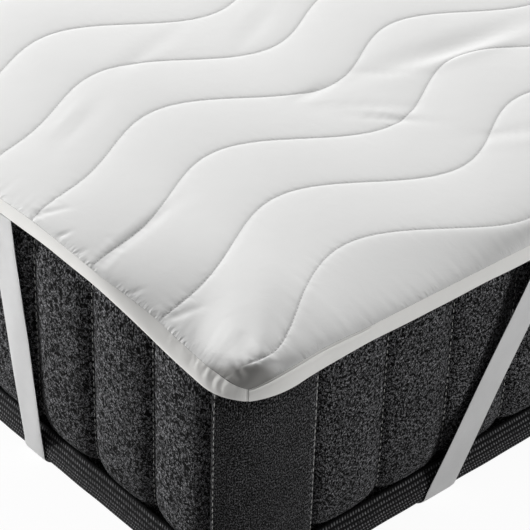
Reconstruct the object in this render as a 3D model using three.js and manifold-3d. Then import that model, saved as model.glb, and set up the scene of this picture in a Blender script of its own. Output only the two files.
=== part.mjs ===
// Single-bed mattress protector, strapped on its mattress. Millimetres, +Z up.
// The origin is the middle of the underside. X runs across the bed, Y along it.
import * as THREE from 'three';
import { mergeVertices } from 'three/addons/utils/BufferGeometryUtils.js';
import Module from 'manifold-3d';

const wasm = await Module();
wasm.setup();

// Driving dimensions
const gap = 0.3; // between pieces that touch

const bed = {
  halfX: 450, // crest of the side channels
  halfY: 1000,
  corner: 50, // plan radius
  top: 236,
  crownIn: 120, // from the border to the full height of the top
  channelDepth: 7,
};

const hem = {
  halfX: 464, // outer face of the edge strips
  halfY: 1002,
  corner: 55,
  lowEnds: 224, // lower edge on the two ends
  lowSides: 212.5, // and on the two long sides
  thick: 3,
  slantIn: 2, // the strips lie over on the two ends: how far their inner face is in from the outer one,
  slantDown: 3, // and how far down
  insetX: 1.2, // how far in the seam with the pad lies, on the long sides
  insetY: 8,
  sagEnds: 26, // how much lower the corner hangs than the middle of the ends
  sagSides: 14.5, // and than the middle of the long sides
  reachEnds: 280, // how far from the corner the pull of the straps is felt, along the ends
  reachSides: 110,
  sagCurve: 1.4,
};

const pad = {
  seamTop: 239.6, // height of the stitched channels
  puff: 9,
  seamThick: 3.3, // through both covers at a channel
  dropEnds: 10.1, // how far the edge lies below the channels
  dropSides: 12.6,
  dropShared: 11.1,
  cornerSag: 20,
  endFlat: 30,
  endReach: 115,
  sideReach: 13,
  puffFade: 18, // how soon the filling reaches its full height, in from the ends
  // rings of the underside: distance in from the long sides and the ends, and depth below the channels
  underside: [
    { inX: 12, inY: 16, below: 3.5 },
    { inX: 30, inY: 48, below: 4 },
  ],
  flatInX: 70, // where the underside is level
  flatInY: 110,
};

const quilt = {
  lines: 10,
  first: 58.8, // from the right-hand edge to the first line
  pitch: 85.73,
  swing: 27.6,
  wave: 275.3,
  start: 3.94,
  lag: -0.136, // change of phase from line to line
  wander: 16.4, // slow drift of all the lines along the bed
  wanderLength: 2000,
};

const strap = {
  thick: 1.2,
  // distances from the corner of the edge strips: far and near edge of the band
  endTop: { far: 318.6, near: 284.2 },
  endFoot: { far: 283.5, near: 256 },
  sideFoot: { far: 245, near: 209 },
  sideTop: { far: 348, near: 315.4 },
  sideTopIn: 3.1, // how far inside the edge strip the band hangs
  endTopBelow: 2, // on the ends the band starts this far under the edge strip
  grooveDepth: 1.6,
  grooveSide: 1.8, // room beside the band
  grooveRun: 20, // how far the groove is cut past the mattress
};

const tape = { low: 2, high: 25, thick: 2.2, room: 0.7 }; // room: between the tape and the border

const border = {
  endSeams: 12, // upright seams on each end, evenly spaced
  endSeamAt: 429, // the outermost one
  sideSeams: 26,
  sideSeamAt: 920,
  crestFrom: 0.3, // a channel's crest runs from here to the same place on its other side
  cornerRelief: 0.6, // the corners are flatter
  // height, distance in from the crest, share of the channels' depth
  levels: [
    { z: 0, inset: 8, relief: 0 },
    { z: 3, inset: tape.thick + tape.room, relief: 0 },
    { z: tape.high + tape.room, inset: tape.thick + tape.room, relief: 0 },
    { z: 46, inset: 0, relief: 1 },
    { z: 184, inset: 0, relief: 1 },
    { z: 210, inset: 8, relief: 0.5 },
    { z: 222, inset: 22, relief: 0 },
    { z: 225.5, inset: 50, relief: 0 },
  ],
};

const corners = [[1, -1], [-1, -1], [1, 1], [-1, 1]]; // signs of X and Y

const colours = {
  pad: 0xe9e9e6,
  binding: 0xe4e3df,
  elastic: 0xdedddb,
  mattress: 0x2e2e30,
  tape: 0x252527,
};

// Small maths helpers
const clamp01 = (t) => Math.min(1, Math.max(0, t));
const smooth = (t) => clamp01(t) ** 2 * (3 - 2 * clamp01(t));
const mix = (a, b, t) => a + (b - a) * t;

// A point of a square-cornered rectangle, moved on to the same rectangle with round corners.
function rounded(x, y, halfX, halfY, radius) {
  const a = Math.max(0, Math.abs(x) - (halfX - radius));
  const b = Math.max(0, Math.abs(y) - (halfY - radius));
  const shrinkA = a * Math.sqrt(1 - (b * b) / (2 * radius * radius)) - a;
  const shrinkB = b * Math.sqrt(1 - (a * a) / (2 * radius * radius)) - b;
  return [x + Math.sign(x) * shrinkA, y + Math.sign(y) * shrinkB];
}

// Where the pad's rim lies, before its corners are rounded.
const rimX = hem.halfX - hem.insetX;
const rimY = hem.halfY - hem.insetY;

// Distances in from the outer faces of the edge strips.
const fromSide = (x) => hem.halfX - Math.abs(x);
const fromEnd = (y) => hem.halfY - Math.abs(y);

// How strongly the straps pull at a distance from the corner, along an end and along a long side.
const pullOnEnd = (distance) => clamp01(1 - distance / hem.reachEnds) ** hem.sagCurve;
const pullOnSide = (distance) => clamp01(1 - distance / hem.reachSides) ** 2;

// Lower edge of the edge strips, for a place on the pad's rim. It hangs lower towards the corners,
// where the straps pull.
function hemLow(x, y) {
  const alongEnd = fromSide(x) - hem.insetX;
  const alongSide = fromEnd(y) - hem.insetY;
  if (alongEnd > alongSide) return hem.lowEnds - hem.sagEnds * pullOnEnd(alongEnd);
  return hem.lowSides - hem.sagSides * pullOnSide(alongSide);
}

// Height of the pad along its stitching, before the filling lifts it.
function seamHeight(x, y) {
  const dx = fromSide(x);
  const dy = fromEnd(y);
  const end = 1 - smooth((dy - pad.endFlat) / (pad.endReach - pad.endFlat));
  const side = Math.exp(-(dx - hem.insetX) / pad.sideReach);
  return pad.seamTop - pad.dropEnds * end - pad.dropSides * side + pad.dropShared * end * side
    - pad.cornerSag * pullOnEnd(dx) * pullOnSide(dy);
}

// X of quilting line k (0 is nearest the right-hand side) at a place along the bed.
function quiltLine(k, y) {
  const along = y + hem.halfY;
  const phase = (2 * Math.PI * along) / quilt.wave + quilt.start + quilt.lag * k;
  const drift = quilt.wander * Math.sin((2 * Math.PI * along) / quilt.wanderLength);
  return hem.halfX - (quilt.first + k * quilt.pitch + quilt.swing * Math.sin(phase) - drift);
}

// A closed mesh from points and polygons, turned so that its faces point out.
function closedGeometry(points, polygons) {
  const triangles = [];
  for (const polygon of polygons) {
    for (let i = 1; i + 1 < polygon.length; i += 1) {
      triangles.push([polygon[0], polygon[i], polygon[i + 1]]);
    }
  }
  const volume = triangles.reduce((sum, [a, b, c]) => {
    const cross = new THREE.Vector3().crossVectors(points[b], points[c]);
    return sum + points[a].dot(cross) / 6;
  }, 0);
  const index = triangles.flatMap(([a, b, c]) => (volume > 0 ? [a, b, c] : [a, c, b]));
  const geometry = new THREE.BufferGeometry();
  const positions = points.flatMap((p) => [p.x, p.y, p.z]);
  geometry.setAttribute('position', new THREE.Float32BufferAttribute(positions, 3));
  geometry.setIndex(index);
  return geometry;
}

// A skin over rings of equal count; the first and last are closed by a polygon or by a middle point.
function loft(rings, middles = [null, null]) {
  const points = rings.flat();
  const count = rings[0].length;
  const polygons = [];
  for (let r = 0; r + 1 < rings.length; r += 1) {
    for (let i = 0; i < count; i += 1) {
      const j = (i + 1) % count;
      polygons.push([r * count + i, r * count + j, (r + 1) * count + j, (r + 1) * count + i]);
    }
  }
  const first = rings[0].map((_, i) => i).reverse();
  const last = rings[0].map((_, i) => (rings.length - 1) * count + i);
  [first, last].forEach((ring, e) => {
    if (!middles[e]) {
      polygons.push(ring);
      return;
    }
    const middle = points.push(middles[e]) - 1;
    ring.forEach((p, i) => polygons.push([middle, p, ring[(i + 1) % count]]));
  });
  return closedGeometry(points, polygons);
}

// Stations along the bed: close together near the ends, where the pad turns down.
function padRows() {
  const nearEnd = [hem.insetY, 14, 24, 38, 56, 78, 104];
  const start = nearEnd.at(-1);
  const spans = 56;
  const rows = nearEnd.map((d) => d - hem.halfY);
  for (let i = 1; i < spans; i += 1) rows.push(mix(start, 2 * hem.halfY - start, i / spans) - hem.halfY);
  return [...rows, ...nearEnd.map((d) => hem.halfY - d).reverse()];
}

// Places across the bed at one station: between every two lines of stitching, with the share of puff.
function padColumns(y) {
  const seams = [rimX];
  for (let k = 0; k < quilt.lines; k += 1) seams.push(quiltLine(k, y));
  seams.push(-rimX);
  const columns = [];
  for (let s = 0; s + 1 < seams.length; s += 1) {
    const outer = s === 0 || s + 2 === seams.length;
    const steps = outer ? 4 : 3;
    for (let i = 0; i < steps; i += 1) {
      const t = i / steps;
      columns.push({ x: mix(seams[s], seams[s + 1], t), lift: (4 * t * (1 - t)) ** 0.8 });
    }
  }
  columns.push({ x: -rimX, lift: 0 });
  return columns;
}

// A place on the pad, given on a rectangle with square corners.
function padPoint(x, y, z) {
  const [px, py] = rounded(x, y, rimX, rimY, hem.corner);
  return new THREE.Vector3(px, py, z);
}

// A rim place moved out (or in, with negative distances) square to the rim.
function rimPoint(x, y, outX, outY, z) {
  const halfX = rimX + outX;
  const halfY = rimY + outY;
  const [px, py] = rounded((x * halfX) / rimX, (y * halfY) / rimY, halfX, halfY, hem.corner);
  return new THREE.Vector3(px, py, z);
}

// The grid of the pad's upper cover, and the way round its rim.
const padGrid = padRows().map((y) => {
  const fade = 1 - Math.exp(-(fromEnd(y) - hem.insetY) / pad.puffFade);
  return padColumns(y).map(({ x, lift }) => ({ x, y, z: seamHeight(x, y) + pad.puff * lift * fade }));
});
const padRim = [
  ...padGrid[0],
  ...padGrid.slice(1, -1).map((row) => row.at(-1)),
  ...[...padGrid.at(-1)].reverse(),
  ...padGrid.slice(1, -1).map((row) => row[0]).reverse(),
];

// How much a rim point faces a long side (1) or an end (0).
function sideShare(x, y) {
  const a = clamp01((Math.abs(x) - rimX + hem.corner) / hem.corner);
  const b = clamp01((Math.abs(y) - rimY + hem.corner) / hem.corner);
  return (a * a * (2 - b * b)) / (a * a * (2 - b * b) + b * b * (2 - a * a));
}

// Where the pad and its edge strip meet: the outer and the inner edge of that face.
function rimFace(x, y, out, down) {
  const side = sideShare(x, y);
  const z = seamHeight(x, y) - down;
  return [
    rimPoint(x, y, out, out, z),
    rimPoint(x, y, out - hem.thick, out - hem.slantIn, z - mix(hem.slantDown, 0, side)),
  ];
}

// One ring of the pad's underside, a distance in from the rim.
function underRing(inX, inY, below) {
  const shareX = 1 - inX / rimX;
  const shareY = 1 - inY / rimY;
  return padRim.map(({ x, y }) => {
    const z = Math.min(seamHeight(x * shareX, y * shareY), pad.seamTop) - below;
    return padPoint(x * shareX, y * shareY, z);
  });
}

function padGeometry() {
  const points = padGrid.flat().map(({ x, y, z }) => padPoint(x, y, z));
  const rows = padGrid.length;
  const columns = padGrid[0].length;
  const at = (r, c) => r * columns + c;
  const polygons = [];
  for (let r = 0; r + 1 < rows; r += 1) {
    for (let c = 0; c + 1 < columns; c += 1) {
      polygons.push([at(r, c), at(r, c + 1), at(r + 1, c + 1), at(r + 1, c)]);
    }
  }
  const rim = [];
  for (let c = 0; c < columns; c += 1) rim.push(at(0, c));
  for (let r = 1; r + 1 < rows; r += 1) rim.push(at(r, columns - 1));
  for (let c = columns - 1; c >= 0; c -= 1) rim.push(at(rows - 1, c));
  for (let r = rows - 2; r > 0; r -= 1) rim.push(at(r, 0));

  const lip = padRim.map(({ x, y }) => rimFace(x, y, 0, 0)[1]);
  const underside = pad.seamTop - pad.seamThick;
  const flat = underRing(pad.flatInX, pad.flatInY, pad.seamThick).map((p) => p.setZ(underside));
  const rings = [lip, ...pad.underside.map(({ inX, inY, below }) => underRing(inX, inY, below)), flat];
  let outer = rim;
  for (const ring of rings) {
    const inner = ring.map((p) => points.push(p) - 1);
    for (let i = 0; i < outer.length; i += 1) {
      const j = (i + 1) % outer.length;
      polygons.push([outer[i], inner[i], inner[j], outer[j]]);
    }
    outer = inner;
  }
  const middle = points.push(new THREE.Vector3(0, 0, underside)) - 1;
  outer.forEach((p, i) => polygons.push([middle, outer[(i + 1) % outer.length], p]));
  return closedGeometry(points, polygons);
}

// Section of an edge strip at a rim place: lower outer, upper outer, upper inner, lower inner.
function hemSection(x, y) {
  const side = sideShare(x, y);
  const low = hemLow(x, y);
  const [upperOuter, upperInner] = rimFace(x, y, gap * (1 - side), gap);
  return [
    rimPoint(x, y, hem.insetX, hem.insetY, low),
    upperOuter,
    upperInner,
    rimPoint(x, y, hem.insetX - hem.thick, hem.insetY - hem.slantIn, low - mix(hem.slantDown, 0, side) / 2),
  ];
}

// The four edge strips, split where the rim turns its corners.
function hemGeometry(first, last) {
  const rim = [...padRim, ...padRim];
  const nodes = rim.slice(first, last + 1).map(({ x, y }) => ({ x, y }));
  const nudge = (node, next) => {
    const span = Math.hypot(next.x - node.x, next.y - node.y);
    return { x: mix(node.x, next.x, gap / span), y: mix(node.y, next.y, gap / span) };
  };
  nodes[0] = nudge(nodes[0], nodes[1]);
  nodes[nodes.length - 1] = nudge(nodes.at(-1), nodes.at(-2));
  return loft(nodes.map(({ x, y }) => hemSection(x, y)));
}

// A strap round one corner of the mattress; signX and signY pick the corner.
function strapGeometry(signX, signY) {
  const outX = bed.halfX + gap + strap.thick;
  const outY = bed.halfY + gap + strap.thick;
  const topX = hem.halfX - strap.sideTopIn + strap.thick;
  const point = (x, y, z) => new THREE.Vector3(signX * x, signY * y, z);
  const onEnd = (place, z, lift) => {
    const far = hem.halfX - place.far;
    const near = hem.halfX - place.near;
    const inY = outY - strap.thick;
    return [point(far, outY, z), point(near, outY, z), point(near, inY, z + lift), point(far, inY, z + lift)];
  };
  const onSide = (place, x, z, lift) => {
    const far = hem.halfY - place.far;
    const near = hem.halfY - place.near;
    const inX = x - strap.thick;
    return [point(x, far, z), point(x, near, z), point(inX, near, z + lift), point(inX, far, z + lift)];
  };
  return loft([
    onEnd(strap.endTop, hem.lowEnds - strap.endTopBelow, 0),
    onEnd(strap.endFoot, 0, strap.thick),
    onSide(strap.sideFoot, outX, 0, strap.thick),
    onSide(strap.sideTop, topX, hem.lowSides - gap, 0),
  ]);
}

// The groove that a strap presses into the underside of the mattress.
function grooveGeometry(signX, signY) {
  const edge = (endPlace, sidePlace, outward) => {
    const a = new THREE.Vector2(hem.halfX - endPlace, bed.halfY);
    const b = new THREE.Vector2(bed.halfX, hem.halfY - sidePlace);
    const along = b.clone().sub(a).normalize();
    const across = new THREE.Vector2(along.y, -along.x).multiplyScalar(outward * strap.grooveSide);
    const run = along.multiplyScalar(strap.grooveRun);
    return [a.sub(run).add(across), b.add(run).add(across)];
  };
  const [farA, farB] = edge(strap.endFoot.far, strap.sideFoot.far, 1);
  const [nearA, nearB] = edge(strap.endFoot.near, strap.sideFoot.near, -1);
  const ring = (z) => [farA, nearA, nearB, farB].map((p) => new THREE.Vector3(signX * p.x, signY * p.y, z));
  return loft([ring(-strap.grooveDepth), ring(strap.grooveDepth)]);
}

// Places along one side of the mattress, corner to corner, with the share of relief:
// 0 in a seam and 1 on a crest.
function sidePlaces(half, seamAt, seams) {
  const nearCorner = [0, 0.12, 0.3, 0.55, 0.8].map((t) => (
    { at: mix(half, seamAt, t), relief: border.cornerRelief }
  ));
  const step = (2 * seamAt) / (seams - 1);
  const list = nearCorner.map(({ at, relief }) => ({ at: -at, relief }));
  for (let i = 0; i + 1 < seams; i += 1) {
    const from = -seamAt + i * step;
    const crest = border.crestFrom * step;
    list.push({ at: from, relief: 0 }, { at: from + crest, relief: 1 }, { at: from + step - crest, relief: 1 });
  }
  return [...list, { at: seamAt, relief: 0 }, ...nearCorner.slice(1).reverse()];
}

const endPlaces = sidePlaces(bed.halfX, border.endSeamAt, border.endSeams);
const longPlaces = sidePlaces(bed.halfY, border.sideSeamAt, border.sideSeams);
const borderPlaces = [
  ...endPlaces.map(({ at, relief }) => ({ x: at, y: -bed.halfY, relief })),
  ...longPlaces.map(({ at, relief }) => ({ x: bed.halfX, y: at, relief })),
  ...endPlaces.map(({ at, relief }) => ({ x: -at, y: bed.halfY, relief })),
  ...longPlaces.map(({ at, relief }) => ({ x: -bed.halfX, y: -at, relief })),
];

function mattressSolid() {
  const ring = (z, inset, relief) => borderPlaces.map((place) => {
    const dx = bed.halfX - Math.abs(place.x);
    const dy = bed.halfY - Math.abs(place.y);
    const sag = pad.cornerSag * pullOnEnd(dx) * pullOnSide(dy);
    const inward = inset + bed.channelDepth * relief * (1 - place.relief);
    const halfX = bed.halfX - inward;
    const halfY = bed.halfY - inward;
    const x = (place.x * halfX) / bed.halfX;
    const y = (place.y * halfY) / bed.halfY;
    const [px, py] = rounded(x, y, halfX, halfY, bed.corner);
    return new THREE.Vector3(px, py, z - (sag * z) / bed.top);
  });
  const rings = border.levels.map(({ z, inset, relief }) => ring(z, inset, relief));
  const crown = borderPlaces.map(({ x, y }) => new THREE.Vector3(
    x * (1 - bed.crownIn / bed.halfX),
    y * (1 - bed.crownIn / bed.halfY),
    bed.top,
  ));
  const body = loft([...rings, crown], [new THREE.Vector3(0, 0, 0), new THREE.Vector3(0, 0, bed.top)]);
  let solid = toManifold(body);
  for (const [signX, signY] of corners) solid = solid.subtract(toManifold(grooveGeometry(signX, signY)));
  return fromManifold(solid);
}

// The tape round the foot of the border, one length for each side, butted in the middle of the corners.
function tapeGeometry(half, place) {
  const turnFrom = half - bed.corner;
  const along = [0, 0.25, 0.5, 0.75, 1].map((t) => mix(turnFrom, half - gap / 2, t));
  const stations = [...along.map((at) => -at).reverse(), ...along];
  const section = (at) => [
    [0, tape.low],
    [0, tape.high],
    [tape.thick, tape.high],
    [tape.thick, tape.low],
  ].map(([inset, z]) => {
    const { x, y } = place(at);
    const halfX = bed.halfX - inset;
    const halfY = bed.halfY - inset;
    const [px, py] = rounded((x * halfX) / bed.halfX, (y * halfY) / bed.halfY, halfX, halfY, bed.corner);
    return new THREE.Vector3(px, py, z);
  });
  return loft(stations.map(section));
}

// manifold-3d's solids from closed meshes, and back
function toManifold(geometry) {
  const merged = mergeVertices(geometry, 1e-4);
  return new wasm.Manifold(new wasm.Mesh({
    numProp: 3,
    vertProperties: new Float32Array(merged.attributes.position.array),
    triVerts: new Uint32Array(merged.index.array),
  }));
}

function fromManifold(solid) {
  const mesh = solid.getMesh();
  const geometry = new THREE.BufferGeometry();
  geometry.setAttribute('position', new THREE.Float32BufferAttribute(mesh.vertProperties, 3));
  geometry.setIndex([...mesh.triVerts]);
  return geometry;
}

const cloth = (color, roughness) => new THREE.MeshStandardMaterial({ color, roughness, metalness: 0 });
const group = new THREE.Group();

function addPiece(name, geometry, material) {
  const flat = mergeVertices(geometry, 1e-4);
  flat.computeVertexNormals();
  const mesh = new THREE.Mesh(flat, material);
  mesh.name = name;
  group.add(mesh);
}

addPiece('mattress', mattressSolid(), cloth(colours.mattress, 0.95));

const tapeSides = {
  Front: [bed.halfX, (at) => ({ x: at, y: -bed.halfY })],
  Right: [bed.halfY, (at) => ({ x: bed.halfX, y: at })],
  Back: [bed.halfX, (at) => ({ x: -at, y: bed.halfY })],
  Left: [bed.halfY, (at) => ({ x: -bed.halfX, y: -at })],
};
for (const [side, [half, place]] of Object.entries(tapeSides)) {
  addPiece(`tape${side}`, tapeGeometry(half, place), cloth(colours.tape, 0.9));
}

addPiece('pad', padGeometry(), cloth(colours.pad, 0.85));

// The rim runs from the front right-hand corner towards the left.
const rimTurns = [0, padGrid[0].length - 1, padGrid[0].length + padGrid.length - 2];
rimTurns.push(rimTurns[2] + padGrid[0].length - 1, padRim.length);
['Front', 'Left', 'Back', 'Right'].forEach((side, i) => {
  addPiece(`binding${side}`, hemGeometry(rimTurns[i], rimTurns[i + 1]), cloth(colours.binding, 0.85));
});

for (const [signX, signY] of corners) {
  const name = `strap${signY < 0 ? 'Front' : 'Back'}${signX < 0 ? 'Left' : 'Right'}`;
  addPiece(name, strapGeometry(signX, signY), cloth(colours.elastic, 0.8));
}

export default group;
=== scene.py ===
import math

import bmesh
import bpy
import numpy as np
from mathutils import Matrix, Vector


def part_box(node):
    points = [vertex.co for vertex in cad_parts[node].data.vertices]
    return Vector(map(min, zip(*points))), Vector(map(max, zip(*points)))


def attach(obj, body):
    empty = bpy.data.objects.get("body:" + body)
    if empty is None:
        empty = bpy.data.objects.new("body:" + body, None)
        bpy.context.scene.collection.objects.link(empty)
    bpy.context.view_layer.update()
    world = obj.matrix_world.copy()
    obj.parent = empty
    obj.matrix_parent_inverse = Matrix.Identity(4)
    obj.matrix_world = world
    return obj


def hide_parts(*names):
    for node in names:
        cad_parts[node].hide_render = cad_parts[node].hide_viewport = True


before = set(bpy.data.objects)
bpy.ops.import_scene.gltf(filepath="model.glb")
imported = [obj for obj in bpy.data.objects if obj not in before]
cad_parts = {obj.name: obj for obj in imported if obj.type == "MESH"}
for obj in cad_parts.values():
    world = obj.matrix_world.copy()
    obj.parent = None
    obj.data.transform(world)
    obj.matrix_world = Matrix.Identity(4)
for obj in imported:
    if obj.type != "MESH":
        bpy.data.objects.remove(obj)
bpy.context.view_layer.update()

scene = bpy.context.scene
mm = 0.001  # shapes are worked out in millimetres and made in metres


# small helpers

def clamp01(t):
    return np.clip(t, 0.0, 1.0)


def smoothStep(t):
    t = clamp01(t)
    return t * t * (3 - 2 * t)


def mix(a, b, t):
    return a + (b - a) * t


def hill(distance, width):
    return np.exp(-(distance / width) ** 2)


# smooth random unevenness, from -1 to 1, with one change of mind per cell
def unevenness(x, y, cell, seed):
    lattice = np.random.default_rng(seed).uniform(-1, 1, (64, 64))
    u, v = np.broadcast_arrays(x / cell, y / cell)
    i, j = np.floor(u).astype(int), np.floor(v).astype(int)
    a, b = smoothStep(u - i), smoothStep(v - j)
    near = mix(lattice[i % 64, j % 64], lattice[(i + 1) % 64, j % 64], a)
    far = mix(lattice[i % 64, (j + 1) % 64], lattice[(i + 1) % 64, (j + 1) % 64], a)
    return mix(near, far, b)


# ripples that never repeat: waves of several lengths with random starts
def ripple(along, lengths, seed):
    starts = np.random.default_rng(seed).uniform(0, 2 * math.pi, len(lengths))
    return sum(np.sin(2 * math.pi * along / w + s) for w, s in zip(lengths, starts)) / len(lengths)


# positions from a list of (from, step) up to the end
def spaced(steps, end):
    places = []
    for n, (start, step) in enumerate(steps):
        stop = steps[n + 1][0] if n + 1 < len(steps) else end
        count = max(1, round((stop - start) / step))
        places.append(np.linspace(start, stop, count, endpoint=False))
    return np.append(np.concatenate(places), end)


def gridFaces(rows, columns, wrapRows=False, wrapColumns=False, start=0):
    r = np.arange(rows if wrapRows else rows - 1)[:, None]
    c = np.arange(columns if wrapColumns else columns - 1)[None, :]
    nextR, nextC = (r + 1) % rows, (c + 1) % columns
    corners = [r * columns + c, r * columns + nextC, nextR * columns + nextC, nextR * columns + c]
    return (np.stack(np.broadcast_arrays(*corners), -1).reshape(-1, 4) + start).tolist()


# one finished piece: a smooth mesh from points in millimetres, in its place on the body
def makePiece(name, points, faces, material, nodes=(), values=None, clothMap=None):
    mesh = bpy.data.meshes.new(name)
    mesh.from_pydata((np.asarray(points) * mm).tolist(), [], faces)
    mesh.validate()
    mesh.update()
    solid = turnOut(mesh)
    mesh.shade_smooth()
    mesh.set_sharp_from_angle(angle=math.radians(70))
    for key, numbers in (values or {}).items():
        mesh.attributes.new(key, "FLOAT", "POINT").data.foreach_set("value", numbers.astype(np.float32))
    if clothMap is not None:
        layer = mesh.uv_layers.new(name="clothMap")
        corners = np.zeros(len(mesh.loops), np.int32)
        mesh.loops.foreach_get("vertex_index", corners)
        layer.data.foreach_set("uv", clothMap[corners].astype(np.float32).ravel())
    piece = bpy.data.objects.new(name, mesh)
    scene.collection.objects.link(piece)
    mesh.materials.append(material)
    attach(piece, "root")
    if nodes:
        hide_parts(*nodes)
    print(f"{name}: {len(mesh.polygons)} faces, {solid:.6f} cubic metres")
    return piece


# turns the faces out and gives the volume
def turnOut(mesh):
    work = bmesh.new()
    work.from_mesh(mesh)
    volume = work.calc_volume(signed=True)
    if volume < 0:
        bmesh.ops.reverse_faces(work, faces=work.faces)
        work.to_mesh(mesh)
    work.free()
    return abs(volume)


# the cloth's lie, the same as in the solids of the frame

outline = {
    "hemX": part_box("bindingRight")[1].x / mm,  # outer faces of the edge strips
    "hemY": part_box("bindingBack")[1].y / mm,
    "rimX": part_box("pad")[1].x / mm,  # where the pad is sewn to them
    "rimY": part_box("pad")[1].y / mm,
    "corner": 55,
    "bedX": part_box("mattress")[1].x / mm,
    "bedY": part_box("mattress")[1].y / mm,
    "bedTop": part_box("mattress")[1].z / mm,
    "bedCorner": 50,
}
insetX = outline["hemX"] - outline["rimX"]
insetY = outline["hemY"] - outline["rimY"]

hang = {
    "top": 239.6,  # the lines of stitching in the middle of the bed
    "rimSag": 31.5,  # how much lower the rim hangs at the corners
    "sagFrom": 50,
    "sagReach": 225,
    "sagCurve": 1.7,
    "endFall": 100,  # how far in from the ends the pad falls
    "sideFall": 12.6,
    "sideReach": 13,
    "cornerFlat": 11.1,
    "lowEnds": 226,  # lower edge of the strips on the ends and the long sides
    "lowSides": 212,
    "hemSag": 28.5,
    "hemReach": 300,
    "hemFull": 56,
    "hemCurve": 2.3,
    "sagSides": 14,
    "reachSides": 125,
    "bedSag": 20,  # the corners of the mattress give way too
    "bedReach": 280,
}

quilt = {
    "lines": 10,
    "first": 58.8,
    "pitch": 85.73,
    "swing": 27.6,
    "wave": 275.3,
    "start": 3.94,
    "lag": -0.136,
    "wander": 16.4,
    "wanderLength": 2000,
    "endTurn": 13,  # the first line bends towards the side before its front end
    "endTurnAt": 36,
    "endTurnReach": 38,
    "endShift": 16,  # at the front end the lines lean to the right, each more than the last
    "endShiftReach": 34,
}


def fromSide(x):
    return outline["hemX"] - np.abs(x)


def fromEnd(y):
    return outline["hemY"] - np.abs(y)


# rises with t and then stays level at 1
def levelled(t):
    return 1 / (1 + np.maximum(t, 1e-3) ** -6.0) ** (1 / 6)


def rimSag(dx):
    t = np.maximum(0, 1 - (dx - hang["sagFrom"]) / hang["sagReach"])
    return levelled(t ** hang["sagCurve"])


def seamHeight(x, y):
    dx, dy = fromSide(x), fromEnd(y)
    end = clamp01(1 - np.maximum(0, dy - 4) / hang["endFall"]) ** hang["sagCurve"]
    side = np.exp(-(dx - insetX) / hang["sideReach"])
    nearEnd = 1 - smoothStep((dy - 30) / 85)
    return (hang["top"] - (0.6 + hang["rimSag"] * rimSag(dx)) * end
            - (hang["sideFall"] - hang["cornerFlat"] * nearEnd) * side)


def hemLow(x, y):
    dx, dy = fromSide(x), fromEnd(y)
    t = np.maximum(0, 1 - dx / hang["hemReach"]) / (1 - hang["hemFull"] / hang["hemReach"])
    onEnd = hang["lowEnds"] - hang["hemSag"] * levelled(t ** hang["hemCurve"])
    onSide = hang["lowSides"] - hang["sagSides"] * clamp01(1 - (dy - insetY) / hang["reachSides"]) ** 2
    return np.where(dx - insetX > dy - insetY, onEnd, onSide)


def quiltLineX(k, y):
    along = y + outline["hemY"]
    phase = 2 * math.pi * along / quilt["wave"] + quilt["start"] + quilt["lag"] * k
    drift = quilt["wander"] * np.sin(2 * math.pi * along / quilt["wanderLength"])
    lean = quilt["endShift"] * min(k, quilt["lines"] - 1 - k)
    drift = drift + lean * np.exp(-(np.maximum(along, 0) / quilt["endShiftReach"]) ** 1.2)
    if k == 0:
        drift = drift + quilt["endTurn"] * hill(along - quilt["endTurnAt"], quilt["endTurnReach"])
    return outline["hemX"] - (quilt["first"] + k * quilt["pitch"] + quilt["swing"] * np.sin(phase) - drift)


# a square-cornered rectangle moved on to one with round corners
def roundedCorner(x, y, halfX, halfY, radius):
    a = np.maximum(0, np.abs(x) - (halfX - radius))
    b = np.maximum(0, np.abs(y) - (halfY - radius))
    shrinkA = a * np.sqrt(np.maximum(0, 1 - b * b / (2 * radius * radius))) - a
    shrinkB = b * np.sqrt(np.maximum(0, 1 - a * a / (2 * radius * radius))) - b
    return x + np.sign(x) * shrinkA, y + np.sign(y) * shrinkB


# the pad reaches out over its end strip in the corners and in the middle
def easeOut(px, py):
    dx, dy = fromSide(px), fromEnd(py)
    corner = insetY * (1 - smoothStep((dx - 14) / 34)) * (1 - smoothStep((dy - 26) / 60))
    middle = 0.75 * insetY * smoothStep((dx - 110) / 80) * (1 - smoothStep((dy - insetY) / 60))
    return py + np.sign(py) * (corner + middle)


# where a place of the square grid lies on the finished pad
def padPlan(x, y):
    px, py = roundedCorner(x, y, outline["rimX"], outline["rimY"], outline["corner"])
    return px, easeOut(px, py)


# how far inside the seam with the edge strips
def fromRim(x, y):
    return np.maximum(0, np.minimum(fromSide(x) - insetX, fromEnd(y) - insetY))


# a place on the rim moved out square to it
def rimPoint(x, y, outX, outY, z):
    halfX, halfY = outline["rimX"] + outX, outline["rimY"] + outY
    px, py = roundedCorner(x * halfX / outline["rimX"], y * halfY / outline["rimY"], halfX, halfY,
                           outline["corner"])
    py = mix(easeOut(px, py), py, clamp01(outY / insetY))
    return np.stack(np.broadcast_arrays(px, py, z), -1)


# how much a rim place faces a long side (1) or an end (0)
def sideShare(x, y):
    a = clamp01((np.abs(x) - outline["rimX"] + outline["corner"]) / outline["corner"])
    b = clamp01((np.abs(y) - outline["rimY"] + outline["corner"]) / outline["corner"])
    onSide, onEnd = a * a * (2 - b * b), b * b * (2 - a * a)
    return onSide / np.maximum(onSide + onEnd, 1e-9)


# folds, gathers and puckers of the pad

gathers = {
    "endLengths": (8.2, 11.6, 17.5),  # between the small gathers along the two ends
    "endHeight": 0.12,
    "endReach": 7,
    "cornerHeight": 0.06,  # the strong gathers by the corners
    "cornerFrom": 16,
    "cornerFull": 60,
    "cornerTo": 118,
    "cornerLength": 6.2,
    "cornerReach": 3.2,
    "sideLengths": (5.9, 8.3, 12.7),
    "sideHeight": 0.35,
    "sideReach": 5,
}

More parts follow.
